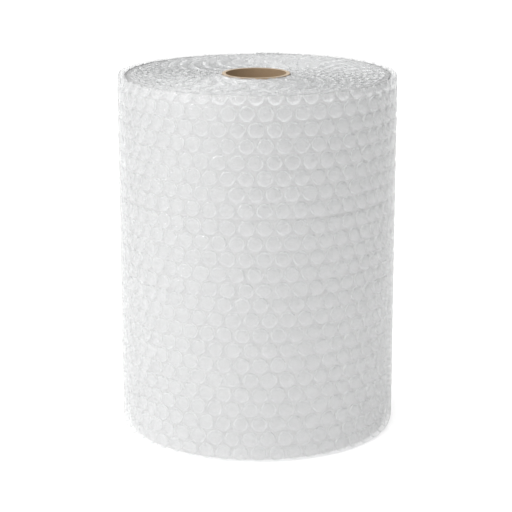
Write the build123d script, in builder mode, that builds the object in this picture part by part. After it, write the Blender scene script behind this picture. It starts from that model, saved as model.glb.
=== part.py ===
from build123d import *
import math
import os

# A roll of air-bubble cushioning film, standing on its end. One long strip of film is wound
# in a spiral on a plain cardboard tube. Millimetres, +Z up along the tube's axis, with the
# origin on that axis in the plane that the roll stands on.

# --- the wound film -----------------------------------------------------------------------
roll_diameter = 194.4  # across the finished roll, through its free end
film_width = 250.0  # slit width of the film, which is the roll's height
film_height = 4.0  # nominal height of the film with its bubbles, as wound under light tension
turn_gap = 0.35  # free space left between one turn and the next

# --- the tube it is wound on --------------------------------------------------------------
core_bore = 42.0  # inner diameter
core_wall = 2.5
core_clearance = 0.3  # between the tube and the first turn

# --- sizes that follow --------------------------------------------------------------------
core_diameter = core_bore + 2 * core_wall
core_length = film_width  # the tube is cut flush with the film's edges
winding_radius = core_diameter / 2 + core_clearance  # inner face of the first half-turn

# The spiral is drawn as half circles whose centres change sides by half a turn's pitch. An
# even number of them puts both ends of the strip at the back, and the pitch is the nominal
# height of the film, drawn in or let out so that the last turn meets the roll's diameter.
winding_space = roll_diameter / 2 - winding_radius + turn_gap
half_turns = 2 * round((winding_space / (film_height / 2) - 1) / 2)
half_pitch = winding_space / (half_turns + 1)
strip_height = 2 * half_pitch - turn_gap


def half_turn(number, offset):
    """One half circle of the spiral, moved outwards by offset from the strip's inner face."""
    on_left = number % 2 == 0
    centre = (0, 0) if on_left else (0, half_pitch)
    radius = winding_radius + number * half_pitch + offset
    return centre, radius, 90 if on_left else -90


# --- cardboard tube -----------------------------------------------------------------------
with BuildPart() as core_tube:
    with BuildSketch():
        Circle(core_diameter / 2)
        Circle(core_bore / 2, mode=Mode.SUBTRACT)
    extrude(amount=core_length)

# --- bubble film --------------------------------------------------------------------------
with BuildPart() as bubble_film:
    with BuildSketch() as strip:
        with BuildLine():
            for number in range(half_turns):
                centre, radius, start = half_turn(number, 0)
                inner = CenterArc(centre, radius, start, 180)
                centre, radius, start = half_turn(number, strip_height)
                outer = CenterArc(centre, radius, start, 180)
                if number == 0:
                    Line(inner @ 0, outer @ 0)
            Line(inner @ 1, outer @ 1)
        make_face()
    extrude(amount=film_width)

# --- files --------------------------------------------------------------------------------
core_tube.part.label = "core_tube"
bubble_film.part.label = "bubble_film"

os.makedirs("parts", exist_ok=True)
export_step(core_tube.part, "parts/core_tube.step")
export_step(bubble_film.part, "parts/bubble_film.step")

strip_length = sum(
    math.pi * (half_turn(number, strip_height / 2)[1]) for number in range(half_turns)
)
print("turns", half_turns / 2, "pitch", round(2 * half_pitch, 4))
print("strip height", round(strip_height, 4), "length", round(strip_length, 1))
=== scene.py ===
"""A roll of air-bubble cushioning film on a cardboard tube, built around its CAD frame.

The film is made flat, as it comes off the machine, and then wound: x runs along the strip from
its free end, y is the height above the table and z is how far a point stands out of the flat
outer film. Metres throughout.
"""

import math
from collections import namedtuple

import bmesh
import bpy
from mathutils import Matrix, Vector


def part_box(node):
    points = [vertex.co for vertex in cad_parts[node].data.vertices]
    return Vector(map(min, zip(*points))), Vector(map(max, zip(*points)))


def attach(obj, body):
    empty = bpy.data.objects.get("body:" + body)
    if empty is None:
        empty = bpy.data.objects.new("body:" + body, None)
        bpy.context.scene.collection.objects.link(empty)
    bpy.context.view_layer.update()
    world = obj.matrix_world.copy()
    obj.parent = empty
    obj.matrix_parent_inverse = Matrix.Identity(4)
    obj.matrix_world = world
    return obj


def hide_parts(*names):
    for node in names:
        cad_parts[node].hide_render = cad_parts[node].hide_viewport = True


MM = 0.001
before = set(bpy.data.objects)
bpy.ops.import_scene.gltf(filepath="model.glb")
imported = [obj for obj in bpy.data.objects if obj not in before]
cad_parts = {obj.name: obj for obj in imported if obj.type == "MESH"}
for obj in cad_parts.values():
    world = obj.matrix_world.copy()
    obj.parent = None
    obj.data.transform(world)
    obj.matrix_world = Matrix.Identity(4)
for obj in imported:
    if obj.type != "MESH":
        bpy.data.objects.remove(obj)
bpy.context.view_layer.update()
film_low, film_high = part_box("bubble_film")
tube_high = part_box("core_tube")[1]

# --- the winding, read back from the frame ---------------------------------------------------
roll_height = film_high.z
roll_radius = (film_high.y - film_low.y) / 2
half_pitch = film_high.y - roll_radius
tube_radius = tube_high.x
half_turns = round((roll_radius - tube_radius) / half_pitch) - 1
outer_turn = math.pi * (2 * roll_radius - half_pitch)
strip_length = sum(math.pi * (roll_radius - i * half_pitch) for i in range(half_turns))

# --- the film --------------------------------------------------------------------------------
bubble_pitch = 12.2 * MM
bubble_radius = 5.35 * MM
bubble_depth = 3.45 * MM
lens_rise = 0.62 * MM  # how far the outer film bulges over a bubble
lens_fullness = 0.6  # the power that shapes a bulge, where less is fuller
weld_groove = 0.12 * MM
weld_width = 0.12  # of a bubble's radius, to each side
film_overlap = 16 * MM  # how far the outer turn is carried on under its own free end
free_end = 0.0  # where the strip starts
place_scatter = 0.12 * MM  # how far a bubble may sit from its place in the row
bubble_dents = 0.16 * MM
dent_size = 5 * MM
cup_clearance = 0.05 * MM  # how far a bubble's mouth stays below the outer film
cup_widths = (0.97, 1.02)  # smallest and largest, as shares of the size given here
cup_depths = (0.86, 1.04)

# What each kind of chance starts from.
along_seed, height_seed, turn_seed, width_seed, depth_seed = 3, 5, 11, 13, 17

# A formed bubble from its mouth inwards, as (share of its radius, share of its depth).
bubble_profile = [(1.0, 0.0), (0.93, 0.22), (0.88, 0.6), (0.74, 0.9), (0.42, 1.0)]
bubble_sides = 16
bubble_middle = 0.98  # how deep its middle lies, as a share of its depth

# The film is welded in three lanes, each with its own rows of bubbles, with creases between.
# Low and high are a lane's edges, and start is where its highest row begins along the strip.
Lane = namedtuple("Lane", "name low high highest_row rows row_pitch start")
top_lane = Lane("top", 168.5 * MM, roll_height, 249.1 * MM, 8, 10.7 * MM, 0.0)
middle_lane = Lane("middle", 115.3 * MM, 168.5 * MM, 162.6 * MM, 5, 10.58 * MM, 6.7 * MM)
bottom_lane = Lane("bottom", 0.0, 115.3 * MM, 110.3 * MM, 11, 10.4 * MM, 9.3 * MM)

# How deep the film is drawn in along each lane's low and high edge.
creases = {"top": (0.26 * MM, 0.0), "middle": (0.1 * MM, 0.26 * MM), "bottom": (0.0, 0.1 * MM)}
crease_width = 1.2 * MM
row_drift = 0.13 * MM  # sideways creep of each row

# The outer turn lies slack over one stretch, where it is pulled into long level waves.
slack_middle = 0.60  # as a share of the outer turn, from the free end
slack_spread = 0.09
slack_core = 0.3  # the share of that spread that is fully slack
slack_wave = 1.2 * MM
taut_wave = 0.25 * MM
slack_lens = 0.15  # how much of the bulges is left where the film lies slack
wave_length = 12 * MM
wave_shape = (1.0, 4.0, 1.0)  # waves are this many times closer together up the roll
ripple = 0.1 * MM
ripple_length = 7 * MM

# The wound film sways a little, along the strip, up the roll and outwards.
sway = (1.2 * MM, 0.9 * MM, 1.1 * MM)
sway_length = 45 * MM
held_depth = 6 * MM  # next to the slit edges it can't sway up or down

# The ends of the roll show the slit edges of every turn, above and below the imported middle.
end_depth = 7 * MM
packed_depth = 0.9 * MM
edge_curl = 1.8 * MM
edge_fray = 1.0 * MM
edge_tuck = 0.7 * MM  # how far the slit edges draw inwards
fray_length = 2.6 * MM
frayed_depth = 4 * MM  # how far in from a slit edge it is ragged
tucked_depth = 5 * MM
foot_depth = 10 * MM
foot_fray = 0.3  # of the raggedness, on the edges that the roll stands on
end_margin = 0.5 * MM  # how far the second turn's mesh stops from the slit edges
cut_bubble_dents = 0.5 * MM

# The turns below the outer one are coarser, and lie a little lower.
second_rise = 0.25 * MM
second_lift = -0.3 * MM
packed_inset = 0.6 * MM
tube_gap = 0.5 * MM
fine_mesh, edge_mesh, coarse_mesh = 1.05 * MM, 1.7 * MM, 2.4 * MM
mesh_border = 0.9  # of the spacing: vertices nearer to a lane's edge than this stay in place

# --- the tube's board ------------------------------------------------------------------------
ply_lead = 110 * MM
joint_width = 1.2 * MM

# --- drawing the winding ---------------------------------------------------------------------
path_steps = 90  # points of the winding's line in each half-turn
shares = [i / path_steps for i in range(path_steps)]


# --- building node trees ---------------------------------------------------------------------
class Nodes:
    """A node tree under construction."""

    def __init__(self, tree):
        self.nodes = tree.nodes
        self.links = tree.links

    def fill(self, sockets, values):
        """Fills the visible sockets in order, where None leaves one as it is."""
        visible = [socket for socket in sockets if socket.enabled]
        for socket, value in zip(visible, values):
            if isinstance(value, bpy.types.NodeSocket):
                self.links.new(value, socket)
            elif value is not None:
                socket.default_value = value

    def add(self, kind, *values, **settings):
        """Adds a node, sets it up and fills its inputs."""
        node = self.nodes.new(kind)
        for name, value in settings.items():
            setattr(node, name, value)
        self.fill(node.inputs, values)
        return node

    def maths(self, operation, *values):
        """The result of a Math node."""
        return self.add("ShaderNodeMath", *values, operation=operation).outputs[0]


class Tree(Nodes):
    """Geometry nodes, with the tree's named inputs as sockets."""

    def __init__(self, name, **inputs):
        self.group = bpy.data.node_groups.new(name, "GeometryNodeTree")
        super().__init__(self.group)
        self.group.is_modifier = True
        sockets = self.group.interface
        sockets.new_socket("Geometry", in_out="OUTPUT", socket_type="NodeSocketGeometry")
        for label, kind in inputs.items():
            label = label.replace("_", " ").capitalize()
            sockets.new_socket(label, in_out="INPUT", socket_type="NodeSocket" + kind)
        self.given = dict(zip(inputs, self.add("NodeGroupInput").outputs))

    def vector(self, operation, *values):
        """The result of a Vector Math node."""
        return self.add("ShaderNodeVectorMath", *values, operation=operation).outputs[0]

    def scaled(self, vector, factor):
        """A vector times a number."""
        node = self.add("ShaderNodeVectorMath", vector, operation="SCALE")
        self.links.new(factor, node.inputs["Scale"])
        return node.outputs[0]

    def xyz(self, x, y, z):
        return self.add("ShaderNodeCombineXYZ", x, y, z).outputs[0]

    def split(self, vector):
        return self.add("ShaderNodeSeparateXYZ", vector).outputs

    def place(self):
        """Where each point is."""
        return self.add("GeometryNodeInputPosition").outputs[0]

    def ramp(self, value, low, high, at_low=0.0, at_high=1.0):
        """A smooth step from one value to another."""
        node = self.add("ShaderNodeMapRange", value, low, high, at_low, at_high)
        node.interpolation_type = "SMOOTHSTEP"
        return node.outputs[0]

    def noise(self, vector, size, detail=2.0):
        """A noise vector from about -0.5 to 0.5 whose features are about size across."""
        node = self.add("ShaderNodeTexNoise", vector, None, 1 / size, detail)
        return self.vector("SUBTRACT", node.outputs["Color"], (0.5, 0.5, 0.5))

    def scatter(self, low, high, seed):
        """A random number for each element."""
        node = self.add("FunctionNodeRandomValue", low, high, None, seed)
        return [socket for socket in node.outputs if socket.enabled][0]

    def moved(self, geometry, position):
        """The geometry with its points at these places."""
        return self.add("GeometryNodeSetPosition", geometry, None, position).outputs[0]

    def finish(self, geometry, material):
        """Realizes the instances, sets the material and closes the tree."""
        real = self.add("GeometryNodeRealizeInstances", geometry).outputs[0]
        smooth = self.add("GeometryNodeSetShadeSmooth", real).outputs[0]
        done = self.add("GeometryNodeSetMaterial", smooth, None, material).outputs[0]
        self.add("NodeGroupOutput", done)
        return self.group


def bubble_centres(t):
    """One point for each bubble of a lane, on the flat strip, rows staggered by half a pitch."""
    given = t.given
    count = t.maths("MULTIPLY", given["columns"], given["rows"])
    index = t.add("GeometryNodeInputIndex").outputs[0]
    column = t.maths("FLOORED_MODULO", index, given["columns"])
    row = t.maths("FLOOR", t.maths("DIVIDE", index, given["columns"]))
    stagger = t.maths("MULTIPLY", t.maths("FLOORED_MODULO", row, 2.0), 0.5)
    along = t.maths("MULTIPLY", t.maths("ADD", column, stagger), given["pitch"])
    along = t.maths("ADD", along, given["start"])
    along = t.maths("ADD", along, t.maths("MULTIPLY", row, row_drift))
    along = t.maths("ADD", along, t.scatter(-place_scatter, place_scatter, along_seed))
    height = t.maths("SUBTRACT", given["highest_row"], t.maths("MULTIPLY", row, given["row_pitch"]))
    height = t.maths("ADD", height, t.scatter(-place_scatter, place_scatter, height_seed))
    return t.add("GeometryNodePoints", count, t.xyz(along, height, 0.0), 0.0).outputs[0]


def nearest_bubble(t):
    """The place and the distance of the nearest bubble's centre."""
    centres = bubble_centres(t)
    return t.add("GeometryNodeProximity", centres, None, None, target_element="POINTS").outputs


def wound(t, geometry):
    """Lets the flat strip sway a little, and winds it on the roll's path."""
    flat = t.place()
    swayed = t.vector("MULTIPLY", t.noise(flat, sway_length), sway)
    x, y, z = t.split(t.vector("ADD", flat, swayed))
    height = t.split(flat)[1]
    edge = t.maths("MINIMUM", height, t.maths("SUBTRACT", roll_height, height))
    hold = t.ramp(edge, 0.0, held_depth)
    y = t.add("ShaderNodeMix", hold, height, y).outputs[0]

    # The slit edges are a little ragged: they stand in and out, and up and down.
    frayed, _, curled = t.split(t.noise(flat, fray_length, 3.0))
    loose = t.ramp(edge, 0.0, frayed_depth, 1.0, 0.0)
    standing = t.ramp(height, 0.0, foot_depth, foot_fray, 1.0)
    loose = t.maths("MULTIPLY", loose, standing)
    z = t.maths("ADD", z, t.maths("MULTIPLY", t.maths("MULTIPLY", curled, loose), edge_curl))
    z = t.maths("ADD", z, t.ramp(edge, 0.0, tucked_depth, -edge_tuck, 0.0))
    y = t.maths("ADD", y, t.maths("MULTIPLY", t.maths("MULTIPLY", frayed, loose), edge_fray))
    path = t.add("GeometryNodeObjectInfo", t.given["path"]).outputs["Geometry"]
    spot = t.add("GeometryNodeSampleCurve", path, None, x, mode="LENGTH")
    outwards = t.vector("CROSS_PRODUCT", (0.0, 0.0, 1.0), spot.outputs["Tangent"])
    place = t.vector("ADD", spot.outputs["Position"], t.scaled(outwards, z))
    rolled = t.moved(geometry, t.vector("ADD", place, t.xyz(0.0, 0.0, y)))

    # Winding mirrors the flat strip, so its faces are turned to point outwards again.
    return t.add("GeometryNodeFlipFaces", rolled).outputs[0]


def bubbles_tree():
    """Bubbles in rows, formed inwards from the flat film, cut off at the strip's edges."""
    t = Tree(
        "bubbles in rows",
        cup="Object",
        path="Object",
        material="Material",
        columns="Int",
        rows="Int",
        pitch="Float",
        row_pitch="Float",
        highest_row="Float",
        start="Float",
        free_end="Float",
        dents="Float",
    )
    cup = t.add("GeometryNodeObjectInfo", t.given["cup"]).outputs["Geometry"]
    turn = t.xyz(0.0, 0.0, t.scatter(0.0, 2 * math.pi, turn_seed))
    width = t.scatter(*cup_widths, width_seed)
    size = t.xyz(width, width, t.scatter(*cup_depths, depth_seed))
    centres = bubble_centres(t)
    cups = t.add("GeometryNodeInstanceOnPoints", centres, None, cup, None, None, turn, size)
    cups = t.add("GeometryNodeRealizeInstances", cups.outputs[0]).outputs[0]
    x, y = t.split(t.place())[:2]
    over = t.add("FunctionNodeCompare", y, roll_height, operation="GREATER_THAN").outputs[0]
    under = t.add("FunctionNodeCompare", y, 0.0, operation="LESS_THAN").outputs[0]
    past = t.add("FunctionNodeCompare", x, t.given["free_end"], operation="LESS_THAN").outputs[0]
    for beyond in (over, under, past):
        whole = t.add("GeometryNodeFieldOnDomain", beyond, data_type="BOOLEAN", domain="POINT")
        cut = t.add("GeometryNodeDeleteGeometry", cups, whole.outputs[0], domain="FACE")
        cups = cut.outputs[0]
    dents = t.xyz(*[t.given["dents"]] * 3)
    crumple = t.vector("MULTIPLY", t.noise(t.place(), dent_size, 3.0), dents)
    x, y, z = t.split(t.vector("ADD", t.place(), crumple))
    x = t.maths("MAXIMUM", x, t.given["free_end"])
    y = t.maths("MAXIMUM", t.maths("MINIMUM", y, roll_height), 0.0)
    cups = t.moved(cups, t.xyz(x, y, t.maths("MINIMUM", z, -cup_clearance)))
    return t.finish(wound(t, cups), t.given["material"])


def sheet_tree():
    """The flat outer film of one lane, bulging over its bubbles and drawn in at its creases."""
    t = Tree(
        "outer film",
        path="Object",
        material="Material",
        columns="Int",
        rows="Int",
        pitch="Float",
        row_pitch="Float",
        highest_row="Float",
        start="Float",
        from_length="Float",
        length="Float",
        low="Float",
        high="Float",
        spacing="Float",
        rise="Float",
        lift="Float",
        low_crease="Float",
        high_crease="Float",
    )
    given = t.given
    tall = t.maths("SUBTRACT", given["high"], given["low"])
    across, up = [
        t.maths("ADD", t.maths("ROUND", t.maths("DIVIDE", size, given["spacing"])), 1.0)
        for size in (given["length"], tall)
    ]
    grid = t.add("GeometryNodeMeshGrid", given["length"], tall, across, up).outputs[0]
    corner = t.xyz(
        t.maths("ADD", given["from_length"], t.maths("MULTIPLY", given["length"], 0.5)),
        t.maths("ADD", given["low"], t.maths("MULTIPLY", tall, 0.5)),
        0.0,
    )
    grid = t.moved(grid, t.vector("ADD", t.place(), corner))

    # Vertices near a weld move onto it, so that each bubble has a clean round edge.
    near = nearest_bubble(t)
    outwards = t.vector("NORMALIZE", t.vector("SUBTRACT", t.place(), near["Position"]))
    off_weld = t.maths("SUBTRACT", near["Distance"], bubble_radius)
    half_spacing = t.maths("MULTIPLY", given["spacing"], 0.5)
    close = t.maths("LESS_THAN", t.maths("ABSOLUTE", off_weld), half_spacing)
    y = t.split(t.place())[1]
    to_low = t.maths("SUBTRACT", y, given["low"])
    to_high = t.maths("SUBTRACT", given["high"], y)
    margin = t.maths("MINIMUM", to_low, to_high)
    inside = t.maths("GREATER_THAN", margin, t.maths("MULTIPLY", given["spacing"], mesh_border))
    shift = t.maths("MULTIPLY", t.maths("MULTIPLY", close, inside), off_weld)
    grid = t.moved(grid, t.vector("SUBTRACT", t.place(), t.scaled(outwards, shift)))

    # The film's height over a bubble, the groove round it, and the creases along the lane.
    near = nearest_bubble(t)
    share = t.maths("DIVIDE", near["Distance"], bubble_radius)
    dome = t.maths("SUBTRACT", 1.0, t.maths("MULTIPLY", share, share))
    dome = t.maths("POWER", t.maths("MAXIMUM", dome, 0.0), lens_fullness)
    bulge = t.maths("MULTIPLY", dome, given["rise"])
    groove = t.maths("ABSOLUTE", t.maths("SUBTRACT", share, 1.0))
    groove = t.ramp(groove, 0.0, weld_width, -weld_groove, 0.0)
    crease = t.maths(
        "ADD",
        t.maths("MULTIPLY", t.ramp(to_low, 0.0, crease_width, -1.0, 0.0), given["low_crease"]),
        t.maths("MULTIPLY", t.ramp(to_high, 0.0, crease_width, -1.0, 0.0), given["high_crease"]),
    )
    place = t.place()
    crinkle = t.split(t.noise(place, ripple_length, 3.0))[0]
    pull = t.split(t.noise(t.vector("MULTIPLY", place, wave_shape), wave_length, 2.0))[1]
    x = t.split(place)[0]
    aside = t.maths("SUBTRACT", t.maths("DIVIDE", x, outer_turn), slack_middle)
    aside = t.maths("ABSOLUTE", aside)
    slackness = t.ramp(aside, slack_core * slack_spread, slack_spread, 1.0, 0.0)
    wave = t.maths("ADD", t.maths("MULTIPLY", slackness, slack_wave), taut_wave)
    waves = t.maths("ADD", t.maths("MULTIPLY", crinkle, ripple), t.maths("MULTIPLY", pull, wave))
    eased = t.maths("MULTIPLY", slackness, 1 - slack_lens)
    bulge = t.maths("MULTIPLY", bulge, t.maths("SUBTRACT", 1.0, eased))
    high = t.maths("ADD", t.maths("ADD", bulge, groove), t.maths("ADD", crease, waves))
    high = t.maths("ADD", high, given["lift"])
    grid = t.moved(grid, t.xyz(x, y, high))
    return t.finish(wound(t, grid), given["material"])


# --- making pieces ---------------------------------------------------------------------------
def new_object(name, data):
    made = bpy.data.objects.new(name, data)
    bpy.context.scene.collection.objects.link(made)
    return made


def grown(name, tree, **values):
    """The plain mesh that a tree makes with these inputs, as a piece riding on the roll."""
    host = new_object(name + "_host", bpy.data.meshes.new(name + "_host"))
    modifier = host.modifiers.new(name, "NODES")
    modifier.node_group = tree
    sockets = [s for s in tree.interface.items_tree if s.in_out == "INPUT"]
    for socket in sockets:
        key = socket.name.lower().replace(" ", "_")
        modifier[socket.identifier] = values[key]
    host.update_tag()
    depsgraph = bpy.context.evaluated_depsgraph_get()
    mesh = bpy.data.meshes.new_from_object(host.evaluated_get(depsgraph))
    bpy.data.objects.remove(host)
    return new_object(name, mesh)


def winding_point(number, share, inset=0.0):
    """A place on a half-turn of the film's outer face, half-turns counted from the free end."""
    centre = half_pitch if number % 2 == 0 else 0.0
    radius = roll_radius - number * half_pitch - inset
    angle = math.pi / 2 - (number + share) * math.pi
    return radius * math.cos(angle), centre + radius * math.sin(angle)


def winding_path():
    """The outer face of the wound strip as a line, from its free end inwards."""
    spots = [winding_point(number, share) for number in range(half_turns) for share in shares]
    curve = bpy.data.curves.new("winding_path", "CURVE")
    curve.dimensions = "3D"
    line = curve.splines.new("POLY")
    line.points.add(len(spots) - 1)
    for point, (x, y) in zip(line.points, spots):
        point.co = (x, y, 0.0, 1.0)
    return new_object("winding_path", curve)


def circle(radius, count):
    """Places round the axis, clockwise from the back."""
    angles = [math.pi / 2 - 2 * math.pi * i / count for i in range(count)]
    return [(radius * math.cos(angle), radius * math.sin(angle)) for angle in angles]


def lofted_mesh(name, levels, tip=None):
    """A mesh through closed outlines, each at its height, with an optional point to close it."""
    mesh = bpy.data.meshes.new(name)
    shape = bmesh.new()
    rings = [[shape.verts.new((x, y, height)) for x, y in outline] for outline, height in levels]
    for one, two in zip(rings, rings[1:]):
        for a, b, c, d in zip(one, one[1:] + one[:1], two[1:] + two[:1], two):
            shape.faces.new((b, c, d, a))
    if tip is not None:
        end = shape.verts.new((0.0, 0.0, tip))
        last = rings[-1]
        for a, b in zip(last, last[1:] + last[:1]):
            shape.faces.new((b, end, a))
    shape.to_mesh(mesh)
    shape.free()
    return mesh


def bubble_cup():
    """One formed bubble: a short wall with a round shoulder, its mouth at z = 0."""
    levels = [
        (circle(bubble_radius * wide, bubble_sides), -bubble_depth * deep)
        for wide, deep in bubble_profile
    ]
    mesh = lofted_mesh("bubble_cup", levels, tip=-bubble_depth * bubble_middle)
    return new_object("bubble_cup", mesh)


# --- materials -------------------------------------------------------------------------------
film_gloss = 3.0  # higher than the plastic's own, for the many faces of thin layers
wrinkle_size, wrinkle_shape = 2.6 * MM, (0.5, 0.5, 1.5)
crinkle_size, crinkle_share = 1.1 * MM, 0.12
blotch_size = 6 * MM
fibre_size, fibre_shape, fibre_height = 1.2 * MM, (1, 1, 3), 0.2 * MM
board_dark, board_light = (0.24, 0.16, 0.09, 1), (0.49, 0.35, 0.22, 1)
joint_shade, joint_strength = (0.10, 0.06, 0.03, 1), 0.5
cut_board = (0.52, 0.42, 0.31, 1)


class Finish(Nodes):
    """A material under construction."""

    def __init__(self, name):
        self.material = bpy.data.materials.new(name)
        self.material.use_nodes = True
        super().__init__(self.material.node_tree)
        self.surface = self.nodes["Principled BSDF"]
        self.output = self.nodes["Material Output"]
        self.place = self.nodes.new("ShaderNodeTexCoord").outputs["Object"]

    def set(self, **values):
        """Fills inputs of the surface by name."""
        for name, value in values.items():
            socket = self.surface.inputs[name.replace("_", " ")]
            if isinstance(value, bpy.types.NodeSocket):
                self.links.new(value, socket)
            else:
                socket.default_value = value

    def noise(self, size, detail=2.0, stretch=(1, 1, 1), distortion=0.0):
        """A noise value from 0 to 1 whose features are about size across, on the object."""
        spread = self.add("ShaderNodeMapping", self.place)
        spread.inputs["Scale"].default_value = stretch
        node = self.add("ShaderNodeTexNoise", spread.outputs[0], None, 1 / size, detail)
        node.inputs["Distortion"].default_value = distortion
        return node.outputs[0]

    def blend(self, share, one, other):
        """A colour that goes from one to the other."""
        node = self.add("ShaderNodeMix", share, one, other, data_type="RGBA")
        return [socket for socket in node.outputs if socket.enabled][0]

    def bump(self, height, distance):
        """A normal for a surface that rises by this distance where height is 1."""
        node = self.add("ShaderNodeBump")
        node.inputs["Strength"].default_value = 1.0
        node.inputs["Distance"].default_value = distance
        self.links.new(height, node.inputs["Height"])
        return node.outputs[0]


def film_finish(name, shade, facing_cover, edge_cover, roughness, wrinkle):
    """Thin clear film: a little haze face on, and bright where it is seen edge on."""
    f = Finish(name)
    f.set(Base_Color=(shade, shade * 1.01, shade * 1.015, 1), Roughness=roughness, IOR=film_gloss)
    wrinkles = f.noise(wrinkle_size, 2.0, wrinkle_shape, 0.4)
    crinkles = f.noise(crinkle_size, 1.0)
    height = f.maths("ADD", wrinkles, f.maths("MULTIPLY", crinkles, crinkle_share))
    normal = f.bump(height, wrinkle)
    f.set(Normal=normal)
    tilt = f.add("ShaderNodeLayerWeight", 0.35, normal).outputs["Facing"]
    cover = f.add("ShaderNodeMapRange", tilt, 0.0, 1.0, facing_cover, edge_cover).outputs[0]
    clear = f.add("ShaderNodeBsdfTransparent").outputs[0]
    mixed = f.add("ShaderNodeMixShader", cover, clear, f.surface.outputs[0]).outputs[0]
    f.links.new(mixed, f.output.inputs["Surface"])
    return f.material


def packed_finish(name, darkest, brightest, gloss, grain, roughness, height):
    """The many turns below, whose layers together look white."""
    f = Finish(name)
    blotch = f.noise(blotch_size, 3.0)
    shade = f.add("ShaderNodeMapRange", blotch, 0.3, 0.7, darkest, brightest).outputs[0]
    tone = f.add("ShaderNodeCombineColor", shade, shade, f.maths("MULTIPLY", shade, 1.005))
    f.set(Base_Color=tone.outputs[0], Roughness=roughness, IOR=gloss)
    f.set(Normal=f.bump(f.noise(grain, 3.0, distortion=1.0), height))
    return f.material


def cardboard_finish():
    """Grey-brown tube board, wound with a helical butt joint, and paler where it is cut."""
    f = Finish("cardboard")
    fibres = f.noise(fibre_size, 4.0, fibre_shape)
    board = f.blend(fibres, board_dark, board_light)

    # The joint climbs by one ply's lead in each turn of the tube.
    x, y, z = f.add("ShaderNodeSeparateXYZ", f.place).outputs
    turn = f.maths("DIVIDE", f.maths("ARCTAN2", y, x), 2 * math.pi)
    climb = f.maths("FRACT", f.maths("ADD", turn, f.maths("DIVIDE", z, ply_lead)))
    joint = f.maths("LESS_THAN", climb, joint_width / ply_lead)
    board = f.blend(f.maths("MULTIPLY", joint, joint_strength), board, joint_shade)
    upright = f.add("ShaderNodeNewGeometry").outputs["Normal"]
    end_on = f.maths("ABSOLUTE", f.add("ShaderNodeSeparateXYZ", upright).outputs[2])
    board = f.blend(f.maths("GREATER_THAN", end_on, 0.7), board, cut_board)
    f.set(Base_Color=board, Roughness=0.85, Normal=f.bump(fibres, fibre_height))
    return f.material


# (name, shade, cover face on, cover edge on, roughness, height of its wrinkles)
clear_film = film_finish("clear_film", 0.72, 0.36, 0.52, 0.07, 0.1 * MM)
# The bubbles' formed film is painted paler than the outer film: partly the film's white haze,
# partly painted light that brightens the bubble rings over the shade on their walls.
formed_film = film_finish("formed_film", 0.92, 0.1, 0.7, 0.12, 0.10 * MM)
# The slit edges' film is painted near white: painted light that brightens the roll's top and bottom
# faces over the shade in the gaps between turns.
edge_film = film_finish("edge_film", 0.96, 0.35, 0.9, 0.15, 0.2 * MM)
# (name, darkest, brightest, gloss, size of the grain, roughness, height of the grain)
packed_film = packed_finish("packed_film", 0.51, 0.59, 2.3, 3 * MM, 0.28, 0.35 * MM)
# The ends' copy of the packed turns is painted far paler than the copy under the outer turn:
# painted light on the roll's top and bottom faces.
packed_ends = packed_finish("packed_ends", 0.92, 0.98, 1.8, 2.4 * MM, 0.12, 1.2 * MM)
cardboard = cardboard_finish()

# --- the pieces ------------------------------------------------------------------------------
path = winding_path()
cup = bubble_cup()
bubbles = bubbles_tree()
sheets = sheet_tree()
film_pieces = []


def lane_rows(lane, first, length):
    """The inputs for one lane's bubbles from a place on the strip onwards."""
    skipped = math.floor((first - lane.start) / bubble_pitch) - 1
    return {
        "path": path,
        "columns": round(length / bubble_pitch) + 3,
        "rows": lane.rows,
        "pitch": bubble_pitch,
        "row_pitch": lane.row_pitch,
        "highest_row": lane.highest_row,
        "start": lane.start + skipped * bubble_pitch,
    }


def add_sheet(name, lane, first, length, finish, spacing, rise, lift=0.0, crease=(0.0, 0.0)):
    """Adds a stretch of one lane's outer film to the roll."""
    film_pieces.append(
        grown(
            name,
            sheets,
            material=finish,
            from_length=first,
            length=length,
            low=lane.low,
            high=lane.high,
            spacing=spacing,
            rise=rise,
            lift=lift,
            low_crease=crease[0],
            high_crease=crease[1],
            **lane_rows(lane, first, length),
        )
    )


def add_bubbles(name, lane, first, length, finish, dents):
    """Adds the formed bubbles behind a stretch of one lane."""
    film_pieces.append(
        grown(
            name,
            bubbles,
            cup=cup,
            material=finish,
            free_end=free_end,
            dents=dents,
            **lane_rows(lane, first, length),
        )
    )


wrapped = outer_turn + film_overlap
for lane in (top_lane, middle_lane, bottom_lane):
    name = lane.name
    crease = creases[name]
    add_sheet(
        "outer_film_" + name, lane, free_end, wrapped, clear_film, fine_mesh, lens_rise, 0.0, crease
    )
    # The bubbles wear the formed film, painted paler with painted light on the rings.
    add_bubbles("bubbles_" + name, lane, free_end, wrapped, formed_film, bubble_dents)
    low, high = max(lane.low, end_margin), min(lane.high, roll_height - end_margin)
    add_sheet(
        "second_turn_" + name,
        lane._replace(low=low, high=high),
        outer_turn,
        outer_turn,
        packed_film,
        coarse_mesh,
        second_rise,
        second_lift,
    )

# The ends show only the highest row and the lowest two. The rows left out at the bottom are
# an even number, so that the stagger stays the same.
left_out = 10
lowest_rows = bottom_lane._replace(
    high=end_depth,
    highest_row=bottom_lane.highest_row - left_out * bottom_lane.row_pitch,
    rows=2,
    start=bottom_lane.start + left_out * row_drift,
)
inner_start = 2 * outer_turn
inner_length = strip_length - inner_start
for lane in (top_lane._replace(low=roll_height - end_depth, rows=1), lowest_rows):
    # The slit edges wear the near-white edge film, which carries painted light.
    stretch = lane, inner_start, inner_length, edge_film
    add_sheet(lane.name + "_edges", *stretch, edge_mesh, lens_rise)
    add_bubbles(lane.name + "_cut_bubbles", *stretch, cut_bubble_dents)

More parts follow.
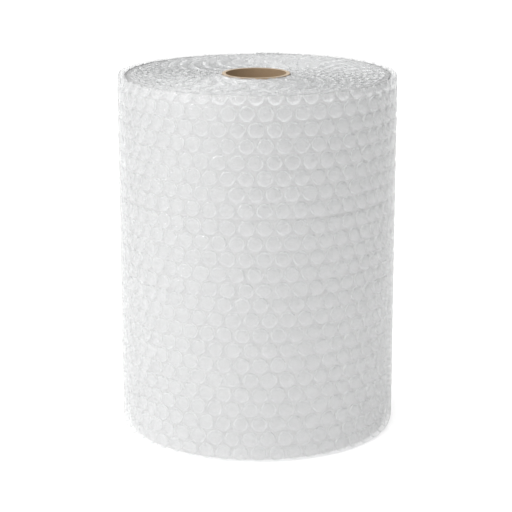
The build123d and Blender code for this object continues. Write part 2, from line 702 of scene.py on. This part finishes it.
# The turns inside the second one, as one body with the winding's outline.
outside = [winding_point(number, share, packed_inset) for number in (2, 3) for share in shares]
inside = circle(tube_radius + tube_gap, 2 * path_steps)
low, high = packed_depth, roll_height - packed_depth
packed_levels = [(inside, high), (outside, high), (outside, low), (inside, low), (inside, high)]
packed_mesh = lofted_mesh("packed_turns", packed_levels)
# The packed turns wear the paler ends copy, with its painted light.
packed_mesh.materials.append(packed_ends)
packed_turns = new_object("packed_turns", packed_mesh)
film_pieces.append(packed_turns)

for piece in film_pieces:
    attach(piece, "root")
    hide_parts("bubble_film")

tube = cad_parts["core_tube"]
tube.data.materials.clear()
tube.data.materials.append(cardboard)

for helper in (path, cup):
    bpy.data.objects.remove(helper)

# --- the studio ------------------------------------------------------------------------------
scene = bpy.context.scene
scene.view_settings.view_transform = "Standard"

camera_back, camera_up = 13.03, 4.653  # in radiuses of the roll
camera_tilt = 14.73  # degrees below level
camera_data = bpy.data.cameras.new("camera")
camera_data.sensor_width = 36
camera_data.lens = 130.04
camera = new_object("camera", camera_data)
camera.location = (0.0, -camera_back * roll_radius, camera_up * roll_radius)
camera.rotation_euler = (math.radians(90 - camera_tilt), 0.0, 0.0)
scene.camera = camera

# The room is brightest above, a little to the left and front, and plain white as a backdrop.
brightest = Vector((-0.26, -0.25, 0.9)).normalized()
room_falloff = (0.1, 0.9, 0.14, 1.4)  # nearness to that direction, from and to, and the light
white = (1.0, 1.0, 1.0, 1)
world = bpy.data.worlds.new("studio")
scene.world = world
world.use_nodes = True
shades = Nodes(world.node_tree)
direction = shades.add("ShaderNodeTexCoord").outputs["Generated"]
nearness = shades.add("ShaderNodeVectorMath", direction, brightest, operation="DOT_PRODUCT")
light = shades.add("ShaderNodeMapRange", nearness.outputs["Value"], *room_falloff).outputs[0]
room = shades.nodes["Background"].outputs[0]
shades.fill(shades.nodes["Background"].inputs, (white, light))
backdrop = shades.add("ShaderNodeBackground", white).outputs[0]
seen = shades.add("ShaderNodeLightPath").outputs["Is Camera Ray"]
shades.fill(
    shades.nodes["World Output"].inputs,
    [shades.add("ShaderNodeMixShader", seen, room, backdrop).outputs[0]],
)


def softbox(name, azimuth, elevation, distance, width, height, power):
    """An area lamp that faces the roll's middle from a compass direction, 0 at the front."""
    lamp_data = bpy.data.lights.new(name, "AREA")
    lamp_data.shape = "RECTANGLE"
    lamp_data.size = width
    lamp_data.size_y = height
    lamp_data.energy = power
    lamp = new_object(name, lamp_data)
    around, up = math.radians(azimuth), math.radians(elevation)
    aim = Vector((0.0, 0.0, roll_height / 2))
    towards = Vector(
        (math.sin(around) * math.cos(up), -math.cos(around) * math.cos(up), math.sin(up))
    )
    lamp.location = aim + towards * distance
    lamp.rotation_euler = (-towards).to_track_quat("-Z", "Y").to_euler()


# (name, azimuth and elevation in degrees, distance, width, height, power in watts)
softboxes = [
    ("key_softbox", -46, 9, 1.4, 1.6, 0.4, 2.7),
    ("left_glint", -36, 24, 1.4, 0.14, 0.14, 1.0),
    ("right_glint", 30, 30, 1.4, 0.16, 0.16, 0.45),
    ("high_softbox", -54, 38, 1.4, 0.6, 0.4, 3.2),
    ("top_softbox", -70, 78, 1.2, 0.7, 0.7, 3.7),
    ("fill_softbox", 56, 9, 1.8, 0.5, 0.6, 1.2),
    ("back_softbox", 180, 16, 1.6, 1.2, 0.3, 1.2),
]
for setting in softboxes:
    softbox(*setting)

floor_height = -0.5 * MM
floor_radius, floor_sides = 3.0, 48
floor_edge = circle(floor_radius, floor_sides)
floor_mesh = lofted_mesh("floor", [(floor_edge, floor_height)], tip=floor_height)
floor_mesh.flip_normals()
floor = new_object("floor", floor_mesh)
floor_finish = Finish("floor_white")
floor_finish.set(Base_Color=(0.9, 0.9, 0.9, 1), Roughness=0.9)
floor_finish.set(Emission_Color=(1, 1, 1, 1), Emission_Strength=0.36)
floor_mesh.materials.append(floor_finish.material)
